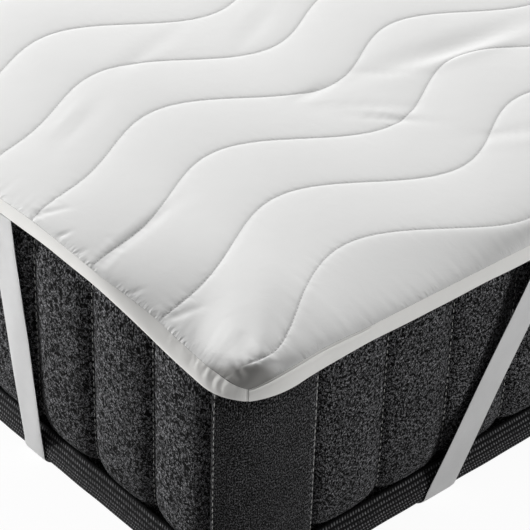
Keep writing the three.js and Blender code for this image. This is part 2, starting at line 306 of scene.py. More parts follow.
# creases in the corners, in distances from the two edge strips: from, to, width and height
cornerCreases = [
    {"start": (50, 13), "end": (19, 13), "width": 1.6, "height": -1.5},
    {"start": (40, 18), "end": (18, 15), "width": 1.5, "height": -1.4},
    {"start": (34, 15.5), "end": (19, 14), "width": 1.6, "height": 0.6},
]

# the filling stops short of the corners, at a shoulder: places from end to side, height and reach
shoulder = {
    "line": ((70, 1), (53, 7), (37, 13.5), (21, 21.5), (12, 29), (5, 39)),
    "height": 5.4,
    "fall": 7.5,
    "reach": 58,
}


# cuts the corners off a line of places, so that it bends smoothly
def rounded(line, times=3):
    places = np.array(line, float)
    for _ in range(times):
        a, b = places[:-1], places[1:]
        cut = np.stack([mix(a, b, 0.25), mix(a, b, 0.75)], 1).reshape(-1, 2)
        places = np.vstack([places[:1], cut[1:-1], places[-1:]])
    return places


shoulderLine = rounded(shoulder["line"])


# how far in a place lies from a line of places in a corner; outside is negative
def insideLine(dx, dy, line):
    best = np.full(np.broadcast(dx, dy).shape, 1e9)
    for (ax, ay), (bx, by) in zip(line, line[1:]):
        span = math.hypot(bx - ax, by - ay)
        ux, uy = (bx - ax) / span, (by - ay) / span
        t = np.clip((dx - ax) * ux + (dy - ay) * uy, 0, span)
        offX, offY = dx - ax - t * ux, dy - ay - t * uy
        distance = np.hypot(offX, offY) * np.where(offX * -uy + offY * ux > 0, 1, -1)
        best = np.where(np.abs(distance) < np.abs(best) - 1e-9, distance, best)
    return -best


def shoulderHeight(dx, dy):
    inside = insideLine(dx, dy, shoulderLine)
    rise = clamp01((inside + shoulder["fall"]) / shoulder["fall"])
    rise = mix(rise, smoothStep(rise), 0.35)
    place = dx - dy  # along the shoulder, from the side to the end
    rise = rise * (1 - smoothStep((place - 14) / 50)) * (1 - smoothStep((-6 - place) / 34))
    return shoulder["height"] * rise * np.exp(-(np.maximum(0, inside) / shoulder["reach"]) ** 1.5)


# where the filling is: 1 inside the shoulders of the corners
def filledShare(x, y):
    px, py = padPlan(x, y)
    return smoothStep(insideLine(fromSide(px), fromEnd(py), shoulderLine) / 8 + 0.4)


# where the cloth is drawn together: 1 between a shoulder and the joint of the strips, where the pad's colour
# carries painted shade
def tuckedShadeShare(x, y):
    px, py = padPlan(x, y)
    dx, dy = fromSide(px), fromEnd(py)
    outside = smoothStep(0.7 - insideLine(dx, dy, shoulderLine) / 4.5)
    return outside * (1 - smoothStep((dx - 50) / 24)) * (1 - smoothStep((dy - 26) / 14))


# soft folds on the top, from, to, width and height
softFolds = [
    {"start": (279, -1003), "end": (246, -898), "width": 3.4, "height": 0.35},
    {"start": (286, -1001), "end": (256, -896), "width": 4.2, "height": -1.3},
    {"start": (352, -1002), "end": (372, -962), "width": 3.6, "height": -0.7},
    {"start": (196, -1000), "end": (212, -962), "width": 3.5, "height": -0.8},
    {"start": (232, -1002), "end": (237, -982), "width": 2.0, "height": -1.3},
    {"start": (258, -1002), "end": (262, -986), "width": 1.8, "height": -1.1},
    {"start": (318, -1001), "end": (324, -984), "width": 2.0, "height": -1.0},
    {"start": (128, -922), "end": (86, -838), "width": 5, "height": -1.1},
    {"start": (112, -915), "end": (78, -850), "width": 4, "height": 0.7},
    {"start": (193, -719), "end": (186, -660), "width": 6, "height": -1.2},
    {"start": (204, -722), "end": (262, -640), "width": 5, "height": -1.2},
    {"start": (222, -712), "end": (300, -640), "width": 5, "height": -1.1},
    {"start": (213, -716), "end": (285, -640), "width": 4, "height": 0.8},
    {"start": (196, -626), "end": (214, -430), "width": 13, "height": -3.0},
    {"start": (216, -620), "end": (236, -440), "width": 9, "height": 1.3},
    {"start": (182, -640), "end": (228, -590), "width": 5, "height": -1.1},
    {"start": (330, -640), "end": (372, -560), "width": 6, "height": -1.2},
    {"start": (352, -640), "end": (392, -560), "width": 5, "height": 0.8},
    {"start": (54, -800), "end": (22, -700), "width": 8, "height": -1.0},
    {"start": (88, -690), "end": (40, -600), "width": 7, "height": -1.1},
]


def creaseField(x, y, creases):
    total = 0 * x
    for crease in creases:
        start, end = np.array(crease["start"], float), np.array(crease["end"], float)
        length = np.linalg.norm(end - start)
        along = (end - start) / length
        t = ((x - start[0]) * along[0] + (y - start[1]) * along[1]) / length
        off = (x - start[0]) * along[1] - (y - start[1]) * along[0]
        total = total + crease["height"] * hill(off, crease["width"]) * hill(t - 0.5, 0.42)
    return total


# more soft folds over the rest of the pad
def scatteredFolds(count, seed):
    rng = np.random.default_rng(seed)
    found = []
    for _ in range(count):
        x, y = rng.uniform(-430, 430), rng.uniform(-960, 960)
        turn, length = rng.uniform(0.6, 2.2), rng.uniform(35, 90)
        found.append({
            "start": (x, y),
            "end": (x + length * math.cos(turn), y + length * math.sin(turn)),
            "width": rng.uniform(6, 11),
            "height": rng.uniform(-1.1, 0.7),
        })
    return [f for f in found if not (f["start"][0] > 0 and f["start"][1] < -500)]


allSoftFolds = softFolds + scatteredFolds(46, 12)


def cornerShare(dx):
    return smoothStep((dx - gathers["cornerFrom"]) / 12) * (
        1 - smoothStep((dx - gathers["cornerFull"]) / (gathers["cornerTo"] - gathers["cornerFull"])))


# the strong gathers: round ridges between sharp valleys, unevenly spaced
def gatherWave(x, lean):
    at = (np.abs(x) + lean) / gathers["cornerLength"]
    at = at + 0.24 * np.sin(np.abs(x) / 9.3) + 0.2 * np.sin(np.abs(x) / 21 + 1)
    return (1.5 * np.abs(np.cos(math.pi * at)) - 0.9) * (0.8 + 0.35 * np.sin(np.abs(x) / 11 + 2))


# a bump that starts at the rim and dies away inside it
def nearRim(inside, reach):
    return inside / reach * np.exp(1 - inside / reach)


# what the gathers and folds add to the height of the pad
def padFolds(x, y):
    px, py = padPlan(x, y)
    realX, realY = fromSide(px), fromEnd(py)
    inEnd, inSide = fromEnd(y) - insetY, fromSide(x) - insetX
    patches = 0.6 + 0.6 * unevenness(x, y * 0 + np.sign(y) * 31, 42, 5)
    small = gathers["endHeight"] * nearRim(inEnd, gathers["endReach"]) * patches * ripple(
        x + 0.35 * y, gathers["endLengths"], 31)
    strong = gathers["cornerHeight"] * nearRim(inEnd, gathers["cornerReach"]) * cornerShare(realX)
    strong = strong * gatherWave(px, -0.2 * inEnd)
    side = gathers["sideHeight"] * nearRim(inSide, gathers["sideReach"])
    side = side * ripple(y, gathers["sideLengths"], 41)
    sewn = 1 - np.exp(-(fromRim(x, y) / 4) ** 2)
    calm = 1 - 0.8 * hill(insideLine(realX, realY, shoulderLine) - 4, 13)  # the cloth is taut over a shoulder
    creases = creaseField(x, y, allSoftFolds) * calm + creaseField(realX, realY, cornerCreases)
    return (small + side) * calm + strong + (creases + shoulderHeight(realX, realY)) * sewn


# shader helpers

class Nodes:
    def __init__(self, tree):
        self.tree = tree

    def add(self, kind, inputs=None, **settings):
        node = self.tree.nodes.new(kind)
        for key, value in settings.items():
            setattr(node, key, value)
        for key, value in (inputs or {}).items():
            self.feed(node.inputs[key], value)
        return node

    def feed(self, socket, value):
        if isinstance(value, bpy.types.NodeSocket):
            self.tree.links.new(value, socket)
        else:
            socket.default_value = value

    def math(self, operation, a, b=0.0, clamp=False):
        return self.add("ShaderNodeMath", {0: a, 1: b}, operation=operation, use_clamp=clamp).outputs[0]

    def range(self, value, low, high, toLow=0.0, toHigh=1.0):
        node = self.add("ShaderNodeMapRange", {"Value": value, "From Min": low, "From Max": high,
                                               "To Min": toLow, "To Max": toHigh})
        return node.outputs["Result"]

    def blend(self, amount, a, b):
        node = self.add("ShaderNodeMix", data_type="RGBA")
        for socket, value in ((node.inputs[0], amount), (node.inputs[6], a), (node.inputs[7], b)):
            self.feed(socket, value)
        return node.outputs[2]

    def noise(self, vector, scale, detail=2.0, roughness=0.5, distortion=0.0):
        node = self.add("ShaderNodeTexNoise", {"Vector": vector, "Scale": scale, "Detail": detail,
                                               "Roughness": roughness, "Distortion": distortion})
        return node.outputs["Fac"]

    def scaled(self, vector, factors):
        return self.add("ShaderNodeMapping", {"Vector": vector, "Scale": factors}).outputs["Vector"]

    def value(self, name):
        return self.add("ShaderNodeAttribute", attribute_name=name).outputs["Fac"]


def shade(red, green, blue):
    def linear(c):
        c = c / 255
        return c / 12.92 if c <= 0.04045 else ((c + 0.055) / 1.055) ** 2.4
    return (linear(red), linear(green), linear(blue), 1.0)


def newGroup(name, inputs, outputs):
    group = bpy.data.node_groups.new(name, "ShaderNodeTree")
    for label, kind, default in inputs:
        socket = group.interface.new_socket(label, in_out="INPUT", socket_type=kind)
        if default is not None:
            socket.default_value = default
    for label, kind in outputs:
        group.interface.new_socket(label, in_out="OUTPUT", socket_type=kind)
    n = Nodes(group)
    return n, n.add("NodeGroupInput").outputs, n.add("NodeGroupOutput").inputs


def useGroup(n, name, inputs):
    node = n.add("ShaderNodeGroup", node_tree=bpy.data.node_groups[name])
    for key, value in inputs.items():
        n.feed(node.inputs[key], value)
    return node.outputs


def newMaterial(name):
    material = bpy.data.materials.new(name)
    material.use_nodes = True
    material.node_tree.nodes.clear()
    return material, Nodes(material.node_tree)


def finishMaterial(n, color, roughness, height, bumpDistance, bumpStrength, sheen, shine=0.25):
    bump = n.add("ShaderNodeBump", {"Strength": bumpStrength, "Distance": bumpDistance, "Height": height})
    shader = n.add("ShaderNodeBsdfPrincipled", {
        "Base Color": color, "Roughness": roughness, "Normal": bump.outputs["Normal"],
        "Sheen Weight": sheen, "Sheen Roughness": 0.45, "Specular IOR Level": shine})
    out = n.add("ShaderNodeOutputMaterial")
    n.tree.links.new(shader.outputs["BSDF"], out.inputs["Surface"])


# crossing threads: height of a plain weave, from a map in metres
def makeWeaveGroup():
    n, given, out = newGroup(
        "wovenThreads",
        [("Map", "NodeSocketVector", None), ("Threads", "NodeSocketFloat", 2500.0)],
        [("Height", "NodeSocketFloat")])
    axes = n.add("ShaderNodeSeparateXYZ", {0: given["Map"]}).outputs
    across = n.math("SINE", n.math("MULTIPLY", axes[0], n.math("MULTIPLY", given["Threads"], 2 * math.pi)))
    along = n.math("SINE", n.math("MULTIPLY", axes[1], n.math("MULTIPLY", given["Threads"], 2 * math.pi)))
    n.feed(out["Height"], n.range(n.math("MULTIPLY", across, along), -1, 1))


# slow change of tone over a cloth, and the slight waves that go with it
def makeHandledGroup():
    n, given, out = newGroup(
        "handledCloth",
        [("Color", "NodeSocketColor", (0.8, 0.8, 0.8, 1)), ("Amount", "NodeSocketFloat", 0.05),
         ("Size", "NodeSocketFloat", 30.0)],
        [("Color", "NodeSocketColor"), ("Waves", "NodeSocketFloat")])
    place = n.add("ShaderNodeTexCoord").outputs["Object"]
    waves = n.noise(place, given["Size"], 3.0, 0.55)
    darker = n.math("MULTIPLY", n.range(waves, 0.35, 0.7), given["Amount"])
    n.feed(out["Color"], n.blend(darker, given["Color"], (0.0, 0.0, 0.0, 1)))
    n.feed(out["Waves"], waves)


makeWeaveGroup()
makeHandledGroup()


# materials

padCloth = {
    "color": shade(240, 240, 239),
    "stitchPitch": 3.6,  # millimetres from needle hole to needle hole
    # painted shade in the needle holes of the quilting lines
    "holePaintedShade": 0.35,
    # painted shade along the creases of the quilting lines
    "creasePaintedShade": 0.06,
    "tuckedPaintedShade": 0.68,  # share of painted shade where the cloth is drawn together by the corners
}


# small puckers beside a seam, from the distance to it and the way along it in millimetres
def makePuckerGroup():
    n, given, out = newGroup(
        "seamPuckers",
        [("Distance", "NodeSocketFloat", 0.0), ("Along", "NodeSocketFloat", 0.0),
         ("Reach", "NodeSocketFloat", 4.0), ("Length", "NodeSocketFloat", 4.0)],
        [("Height", "NodeSocketFloat")])
    place = n.add("ShaderNodeCombineXYZ", {
        0: n.math("DIVIDE", given["Along"], given["Length"]),
        1: n.math("DIVIDE", given["Distance"], n.math("MULTIPLY", given["Length"], 2.6))}).outputs[0]
    wave = n.math("SUBTRACT", n.noise(place, 1.0, 2.0, 0.5, 0.4), 0.5)
    share = n.math("DIVIDE", given["Distance"], given["Reach"])
    near = n.math("POWER", n.range(share, 0.0, 1.0, 1.0, 0.0), 1.3)
    n.feed(out["Height"], n.math("MULTIPLY", wave, near))


makePuckerGroup()


def padMaterial():
    material, n = newMaterial("quiltedMicrofibre")
    handled = useGroup(n, "handledCloth", {"Color": padCloth["color"], "Amount": 0.03, "Size": 9.0})
    place = n.add("ShaderNodeTexCoord").outputs["Object"]
    distance, along = n.value("seamDistance"), n.value("seamAlong")
    # painted shade along the creases of the quilting lines, deepest in the seam
    crease = n.range(distance, 0.2, 1.5, 1.0, 0.0)
    turn = n.math("MULTIPLY", along, 2 * math.pi / padCloth["stitchPitch"])
    # painted shade in the needle holes; the same mask also sinks the bump there
    inHole = n.range(n.math("SINE", turn), 0.45, 0.85)
    hole = n.math("MULTIPLY", inHole, n.range(distance, 0.35, 0.85, 1.0, 0.0))
    # painted shade of the needle holes and the creases, blended towards a dark grey
    dark = n.math("MAXIMUM", n.math("MULTIPLY", hole, padCloth["holePaintedShade"]),
                  n.math("MULTIPLY", crease, padCloth["creasePaintedShade"]))
    color = n.blend(dark, handled["Color"], shade(70, 70, 72))
    # painted shade: the colour goes towards a warm grey where the cloth is drawn together by the corners
    color = n.blend(n.math("MULTIPLY", n.value("tucked"), padCloth["tuckedPaintedShade"]), color, shade(92, 88, 82))
    fine = n.noise(place, 1300.0, 2.0)
    wrinkle = n.noise(n.scaled(place, (60, 60, 60)), 1.0, 4.0, 0.6, 0.6)
    height = n.math("ADD", n.math("MULTIPLY", wrinkle, 0.6), n.math("MULTIPLY", fine, 0.05))
    height = n.math("SUBTRACT", height, n.math("MULTIPLY", hole, 0.5))
    quilted = useGroup(n, "seamPuckers", {"Distance": distance, "Along": along, "Reach": 6.0, "Length": 2.6})
    sewn = useGroup(n, "seamPuckers", {"Distance": n.value("rimDistance"), "Along": n.value("rimAlong"),
                                       "Reach": 6.0, "Length": 2.6})
    here = n.range(n.noise(n.scaled(place, (45, 45, 45)), 1.0, 1.0), 0.42, 0.6, 0.15, 1.0)
    height = n.math("ADD", height, n.math("MULTIPLY", quilted["Height"], 1.8))
    here = n.math("MULTIPLY", here, n.range(n.value("tucked"), 0, 1, 1, 0.25))
    height = n.math("ADD", height, n.math("MULTIPLY", n.math("MULTIPLY", sewn["Height"], here), 3.0))
    finishMaterial(n, color, 0.82, height, 0.0012, 0.35, 0.12)
    return material


def bindingMaterial():
    material, n = newMaterial("foldedMicrofibre")
    handled = useGroup(n, "handledCloth", {"Color": shade(238, 237, 234), "Amount": 0.05, "Size": 14.0})
    place = n.add("ShaderNodeTexCoord").outputs["Object"]
    weave = useGroup(n, "wovenThreads", {"Map": n.add("ShaderNodeUVMap", uv_map="clothMap").outputs["UV"],
                                         "Threads": 1400.0})
    wrinkle = n.noise(n.scaled(place, (120, 120, 120)), 1.0, 4.0, 0.6, 0.5)
    height = n.math("ADD", n.math("MULTIPLY", wrinkle, 0.6), n.math("MULTIPLY", weave["Height"], 0.05))
    finishMaterial(n, handled["Color"], 0.84, height, 0.0010, 0.4, 0.12)
    return material


def elasticMaterial():
    material, n = newMaterial("ribbedElastic")
    handled = useGroup(n, "handledCloth", {"Color": shade(222, 222, 222), "Amount": 0.06, "Size": 40.0})
    cloth = n.add("ShaderNodeUVMap", uv_map="clothMap").outputs["UV"]
    axes = n.add("ShaderNodeSeparateXYZ", {0: cloth}).outputs
    ribs = n.math("SINE", n.math("MULTIPLY", axes[0], 2 * math.pi / 0.0017))
    picks = n.math("SINE", n.math("MULTIPLY", axes[1], 2 * math.pi / 0.0012))
    knit = n.range(n.math("ADD", ribs, n.math("MULTIPLY", picks, 0.6)), -1.6, 1.6)
    fuzz = n.noise(n.add("ShaderNodeTexCoord").outputs["Object"], 900.0, 2.0)
    deep = n.math("MULTIPLY", n.range(knit, 0.45, 0.0), 0.16)
    color = n.blend(deep, handled["Color"], shade(120, 120, 122))
    height = n.math("ADD", knit, n.math("MULTIPLY", fuzz, 0.5))
    finishMaterial(n, color, 0.78, height, 0.0005, 0.5, 0.10)
    return material


knit = {
    "pit": shade(2, 2, 2),
    "dark": shade(26, 26, 27),
    "pale": shade(172, 172, 175),
    "cornerShare": 0.5,  # the plain corners are darker
}


def mattressMaterial():
    material, n = newMaterial("melangeKnit")
    cloth = n.add("ShaderNodeUVMap", uv_map="clothMap").outputs["UV"]
    panel = n.value("channel")
    loops = n.noise(n.scaled(cloth, (300, 260, 1)), 1.0, 2.0, 0.6, 1.1)
    small = n.noise(n.scaled(cloth, (430, 380, 1)), 1.0, 2.0, 0.6, 0.6)
    fine = n.noise(n.scaled(cloth, (900, 620, 1)), 1.0, 2.0, 0.6, 0.3)
    cloud = n.noise(n.scaled(cloth, (34, 26, 1)), 1.0, 3.0, 0.6)
    axes = n.add("ShaderNodeSeparateXYZ", {0: cloth}).outputs
    wales = n.math("SINE", n.math("MULTIPLY", axes[0], 2 * math.pi / 0.0021))
    coarse = n.add("ShaderNodeMix", {0: n.range(panel, 0.5, 1.0), 2: small, 3: loops}).outputs[0]
    yarn = n.range(coarse, 0.44, 0.525)
    flat = n.range(n.math("ADD", fine, n.math("MULTIPLY", wales, 0.04)), 0.42, 0.56)
    filled = n.add("ShaderNodeMix", {0: n.range(panel, 0.0, 0.5), 2: flat, 3: yarn}).outputs[0]
    fleck = n.range(n.math("ADD", fine, n.math("MULTIPLY", n.math("SUBTRACT", cloud, 0.5), 0.12)), 0.42, 0.70)
    fleck = n.math("POWER", fleck, 1.3)
    tone = n.blend(fleck, knit["dark"], knit["pale"])
    tone = n.blend(filled, knit["pit"], tone)
    dim = n.range(panel, 0.0, 0.5, knit["cornerShare"], 1.0)
    tone = n.blend(dim, (0.0, 0.0, 0.0, 1), tone)
    height = n.math("ADD", n.math("MULTIPLY", filled, 0.7), n.math("MULTIPLY", fine, 0.5))
    finishMaterial(n, tone, 0.95, height, 0.0016, 0.9, 0.02, 0.06)
    return material


def tapeMaterial():
    material, n = newMaterial("ribbedTape")
    cloth = n.add("ShaderNodeUVMap", uv_map="clothMap").outputs["UV"]
    axes = n.add("ShaderNodeSeparateXYZ", {0: cloth}).outputs
    slant = n.math("ADD", n.math("MULTIPLY", axes[0], 2 * math.pi / 0.0030),
                   n.math("MULTIPLY", axes[1], 2 * math.pi / 0.0066))
    beads = n.range(n.math("SINE", slant), -0.6, 1)
    turn = n.math("MULTIPLY", n.math("SUBTRACT", axes[1], 0.002), 2 * math.pi / 0.0033)
    rows = n.range(n.math("COSINE", turn), 0.5, -1)
    fine = n.noise(n.scaled(cloth, (520, 700, 1)), 1.0, 2.0)
    lit = n.math("MULTIPLY", n.math("MULTIPLY", beads, rows), n.range(fine, 0.3, 0.65))
    color = n.blend(lit, shade(5, 5, 6), shade(158, 158, 160))
    coarse = n.math("MULTIPLY", n.math("MULTIPLY", beads, rows), 0.6)
    height = n.math("ADD", coarse, n.math("MULTIPLY", fine, 0.4))
    finishMaterial(n, color, 0.8, height, 0.0008, 0.7, 0.02, 0.1)
    return material


def threadMaterial(name, color):
    material, n = newMaterial(name)
    place = n.add("ShaderNodeTexCoord").outputs["Object"]
    twist = n.noise(n.scaled(place, (2400, 2400, 700)), 1.0, 2.0)
    tone = n.blend(n.range(twist, 0.35, 0.65), shade(*(0.8 * c for c in color)), shade(*color))
    finishMaterial(n, tone, 0.6, twist, 0.0002, 0.5, 0.1)
    return material


materials = {
    "pad": padMaterial(),
    "binding": bindingMaterial(),
    "elastic": elasticMaterial(),
    "mattress": mattressMaterial(),
    "tape": tapeMaterial(),
    "whiteThread": threadMaterial("whiteThread", (236, 236, 234)),
    "greyThread": threadMaterial("greyThread", (205, 205, 203)),
}
print("materials made")


# the quilted pad

padValues = {
    "raise": 2.3,  # how far the cover stands over the seam round the rim
    "raiseReach": 5,
    "dome": 1.05,  # the filling's crown
    "cornerDome": 1.3,
    "domePower": 2.4,
    "domeReach": 12,
    "outerDome": 0.6,  # crown of the two outer channels, which run down to the rim
    "valley": 0.75,  # the cover's drop into a line of stitching
    "valleyReach": 1.7,
    "fineRows": 30,  # the gathered ends are meshed more closely
    "fineStep": 1.5,
    "finePitch": (1.5, 2.2),  # in the two channels by the sides, and in the rest
    "rows": ((0, 2.8), (300, 4.0), (660, 9.0), (1640, 4.6)),  # between the ends: place and step
    "across": (0, 0.012, 0.035, 0.07, 0.12, 0.19, 0.28, 0.385, 0.5),  # to the middle of a channel
    "puckerHeight": 0.24,
    "puckerReach": 3.2,
    "puckerLengths": (6.9, 9.7, 14.7),
    "lip": 2.2,
    "lipDrop": (2.4, 0.4),  # on the ends and on the long sides
    "underRings": ((12, 16, 3.5), (30, 48, 4), (70, 110, 3.3)),  # in from sides and ends, and how low
    "underMiddle": 3.3,
}


# height of the cover before its filling lifts it; the outer channels round over to the rim
def coverHeight(x, y):
    base = seamHeight(x, y)
    for sign, k in ((1, 0), (-1, quilt["lines"] - 1)):
        line = quiltLineX(k, y)
        rim = sign * outline["rimX"]
        t = clamp01((rim - x) / (rim - line))
        overRim = mix(seamHeight(rim, y), seamHeight(line, y), 1 - (1 - t) ** 1.6)
        base = np.where((rim - x) / (rim - line) < 1, overRim, base)
    lifted = padValues["raise"] * (1 - np.exp(-fromRim(x, y) / padValues["raiseReach"]))
    lifted = lifted * (0.3 + 0.7 * filledShare(x, y))
    return base + lifted + padFolds(x, y)


# depth of the stitched lines; the first one runs out before the corner
def valleyDepth(k, x, y):
    runsOut = smoothStep((y + outline["hemY"] - 22) / 8) if k == 0 else 1
    return padValues["valley"] * (1 - np.exp(-fromRim(x, y) / 6)) * runsOut


# how far the quilting lines have run at each place along the bed
runRows = np.linspace(-outline["rimY"], outline["rimY"], 4001)
runLines = np.array([quiltLineX(k, runRows) for k in range(quilt["lines"])])
runSteps = np.hypot(np.diff(runLines, axis=1), np.diff(runRows)[None, :])
lineRun = np.hstack([np.zeros((quilt["lines"], 1)), np.cumsum(runSteps, axis=1)])
lineSquare = 1 / np.sqrt(1 + np.gradient(runLines, runRows, axis=1) ** 2)


# shares across a channel, evenly filled up to a pitch
def channelShares(width=0, pitch=1):
    half = np.array(padValues["across"])
    shares = np.concatenate([half, 1 - half[-2::-1]])
    kept = [0]
    filled = []
    for a, b in zip(shares, shares[1:]):
        count = max(1, math.ceil((b - a) * width / pitch))
        filled.append(np.linspace(a, b, count, endpoint=False))
        kept.append(kept[-1] + count)
    return np.append(np.concatenate(filled), 1.0), np.array(kept)


# one band of the pad's top: places, values, and which of its columns the coarse mesh keeps
def padBand(rows, fine):
    v = padValues
    rim = np.full(len(rows), outline["rimX"])
    lines = [quiltLineX(k, rows) for k in range(quilt["lines"])]
    edges = [rim] + lines + [-rim]
    channels = len(edges) - 1
    parts, kept, count = [], [], 0
    for c in range(channels):
        outer = c in (0, channels - 1)
        pitch = v["finePitch"][0 if c in (0, 1, channels - 2, channels - 1) else 1]
        shares, keep = channelShares(50 if outer else quilt["pitch"], pitch) if fine else channelShares()
        if c < channels - 1:
            shares, keep = shares[:-1], keep[:-1]
        kept.append(keep + count)
        count += len(shares)
        x = edges[c][:, None] + np.outer(edges[c + 1] - edges[c], shares)
        y = np.broadcast_to(rows[:, None], x.shape)
        crown = 1 - np.abs(2 * shares - 1) ** v["domePower"]
        crown = v["outerDome"] * 4 * shares * (1 - shares) if outer else v["dome"] * crown
        if c in (1, channels - 2):  # fuller by the corners, towards the outer side
            s = shares if c == 1 else 1 - shares
            full = (1 - np.exp(-s / 0.14)) * (1 - smoothStep((s - 0.25) / 0.75))
            crown = crown + v["cornerDome"] * np.outer(hill(fromEnd(rows) - 48, 46), full)
        sides = []
        for k in (c - 1, c):
            if 0 <= k < quilt["lines"]:
                run = np.interp(rows, runRows, lineRun[k])
                square = np.interp(rows, runRows, lineSquare[k])
                distance = np.abs(x - lines[k][:, None]) * square[:, None]
                strength = 0.5 + 0.9 * np.abs(unevenness(run, 7.3 * k, 55, 8))
                strength = strength + (3.0 if k == 0 else 1.2) * np.exp(-(fromEnd(rows) - insetY) / 60)
                wave = ripple(run, v["puckerLengths"], 60 + k) * strength
                pucker = v["puckerHeight"] * wave[:, None] * nearRim(distance, v["puckerReach"])
                drop = valleyDepth(k, x, y) * np.exp(-distance / v["valleyReach"])
                sides.append((distance, np.broadcast_to(run[:, None], x.shape), pucker - drop))
        near = sides[0]
        if len(sides) > 1:
            closer = sides[0][0] < sides[1][0]
            near = [np.where(closer, a, b) for a, b in zip(*sides)]
        seams = sum(side[2] for side in sides)
        full = 1 + 0.10 * unevenness(x, y, 130, 3)
        domeShare = (1 - np.exp(-(fromEnd(y) - insetY) / v["domeReach"])) * filledShare(x, y)
        z = coverHeight(x, y) + crown * full * domeShare + seams
        parts.append((x, y, z, near[0] + 9 * (1 - filledShare(x, y)), near[1]))
    return [np.hstack(columns) for columns in zip(*parts)], np.concatenate(kept)


def buildPad():
    v = padValues
    end = outline["rimY"]
    fine = np.linspace(0, v["fineRows"], round(v["fineRows"] / v["fineStep"]) + 1)
    inner = spaced(v["rows"], 2 * end - 2 * v["fineRows"])[1:-1]
    bands = [padBand(fine - end, True), padBand(inner + v["fineRows"] - end, False),
             padBand(end - fine[::-1], True)]
    grids, start = [], 0
    for (x, *_), _ in bands:
        grids.append(np.arange(x.size).reshape(x.shape) + start)
        start += x.size
    x, y, z, distance, along = (np.concatenate([band[n].ravel() for band, _ in bands]) for n in range(5))
    faces = []
    for grid in grids:
        faces += gridFaces(*grid.shape, start=int(grid[0, 0]))
    kept = bands[0][1]
    for j in range(len(kept) - 1):  # the joins between fine and coarse columns
        low, high = kept[j], kept[j + 1]
        faces.append(grids[0][-1, low:high + 1].tolist() + [int(grids[1][0, j + 1]), int(grids[1][0, j])])
        faces.append([int(grids[1][-1, j]), int(grids[1][-1, j + 1])]
                     + grids[2][0, low:high + 1][::-1].tolist())
    px, py = padPlan(x, y)
    top = np.stack([px, py, z], -1)
    inEnd, inSide = fromEnd(y) - insetY, fromSide(x) - insetX

    # the way round the rim, and the underside in rings that follow the mattress
    first, last = (np.concatenate([grid[:, column] for grid in grids]) for column in (0, -1))
    loop = np.concatenate([grids[0][0], last[1:-1], grids[2][-1, ::-1], first[-2:0:-1]])
    lx, ly, lz = x[loop], y[loop], z[loop]
    side = sideShare(lx, ly)
    rings = [rimPoint(lx, ly, -v["lip"], -v["lip"], lz - mix(*v["lipDrop"], side))]
    for inX, inY, below in v["underRings"]:
        sx, sy = lx * (1 - inX / outline["rimX"]), ly * (1 - inY / outline["rimY"])
        low = np.minimum(seamHeight(sx, sy), hang["top"]) - below
        ux, uy = roundedCorner(sx, sy, outline["rimX"], outline["rimY"], outline["corner"])
        rings.append(np.stack([ux, uy, low], -1))
    points, outer = [top], loop
    for n, ring in enumerate(rings):
        ringStart = len(top) + n * len(loop)
        following = np.roll(outer, -1)
        under = np.arange(len(loop)) + ringStart
        faces += np.stack([outer, under, np.roll(under, -1), following], -1).tolist()
        points.append(ring)
        outer = under
    points.append(np.array([[0, 0, hang["top"] - v["underMiddle"]]]))
    middle = sum(len(p) for p in points) - 1
    faces += [[int(a), middle, int(b)] for a, b in zip(outer, np.roll(outer, -1))]
    points = np.concatenate(points)
    spare = len(points) - len(top)
    values = {
        "seamDistance": np.append(distance, np.full(spare, 99.0)),
        "seamAlong": np.append(along, np.zeros(spare)),
        # where the painted shade of the corners goes; it also calms the puckers by the rim
        "tucked": np.append(tuckedShadeShare(x, y), np.zeros(spare)),
        "rimDistance": np.append(fromRim(x, y), np.zeros(spare)),
        "rimAlong": np.append(np.where(inEnd < inSide, x, y), np.zeros(spare)),
    }
    pad = makePiece("quiltedPad", points, faces, materials["pad"], ["pad"], values)
    return pad


buildPad()


# sewn stitches: many short beads of thread, each along its own direction
def makeStitches(name, centres, alongs, ups, length, width, height, material):
    alongs = alongs / np.linalg.norm(alongs, axis=1, keepdims=True)
    sideways = np.cross(alongs, ups)
    sideways = sideways / np.linalg.norm(sideways, axis=1, keepdims=True)
    ups = np.cross(sideways, alongs)
    sides = 5
    turns = 2 * math.pi * np.arange(sides) / sides
    rings = ((-0.5, 0.45), (0.0, 1.0), (0.5, 0.45))
    points = []
    for place, share in rings:
        for turn in turns:
            points.append(centres + alongs * place * length + sideways * (width / 2 * share * math.cos(turn))
                          + ups * (height / 2 * share * math.sin(turn) - (0.3 * height if share < 1 else 0)))
    points = np.stack(points, 1).reshape(-1, 3)
    ends = [list(range(sides))[::-1], list(range(2 * sides, 3 * sides))]
    one = gridFaces(3, sides, wrapColumns=True) + ends
    faces = [[v + b * 3 * sides for v in face] for b in range(len(centres)) for face in one]
    return makePiece(name, points, faces, material)


quiltStitches = {
    "length": 2.7,
    "width": 0.55,
    "height": 0.5,
    "rise": 0.1,  # how far the thread stands over the cloth
    "firstFrom": 24,  # the line by the side starts further in
}


def buildQuiltStitches():
    v = quiltStitches
    centres, alongs = [], []
    for k in range(quilt["lines"]):
        start = v["firstFrom"] if k == 0 else padCloth["stitchPitch"] * 1.75
        run = np.arange(start, lineRun[k, -1] - 3, padCloth["stitchPitch"])
        places = []
        for step in (0, 1.2):
            y = np.interp(run + step, lineRun[k], runRows)
            x = quiltLineX(k, y)
            z = coverHeight(x, y) - valleyDepth(k, x, y)
            px, py = padPlan(x, y)
            places.append(np.stack([px, py, z + v["rise"]], -1))
        centres.append(places[0])
        alongs.append(places[1] - places[0])
    centres, alongs = np.concatenate(centres), np.concatenate(alongs)
    ups = np.tile([0.0, 0.0, 1.0], (len(centres), 1))
    return makeStitches("quiltStitches", centres, alongs, ups, v["length"], v["width"], v["height"],
                        materials["whiteThread"])


buildQuiltStitches()


# the four edge strips: folded lengthways, sewn to the rim of the pad

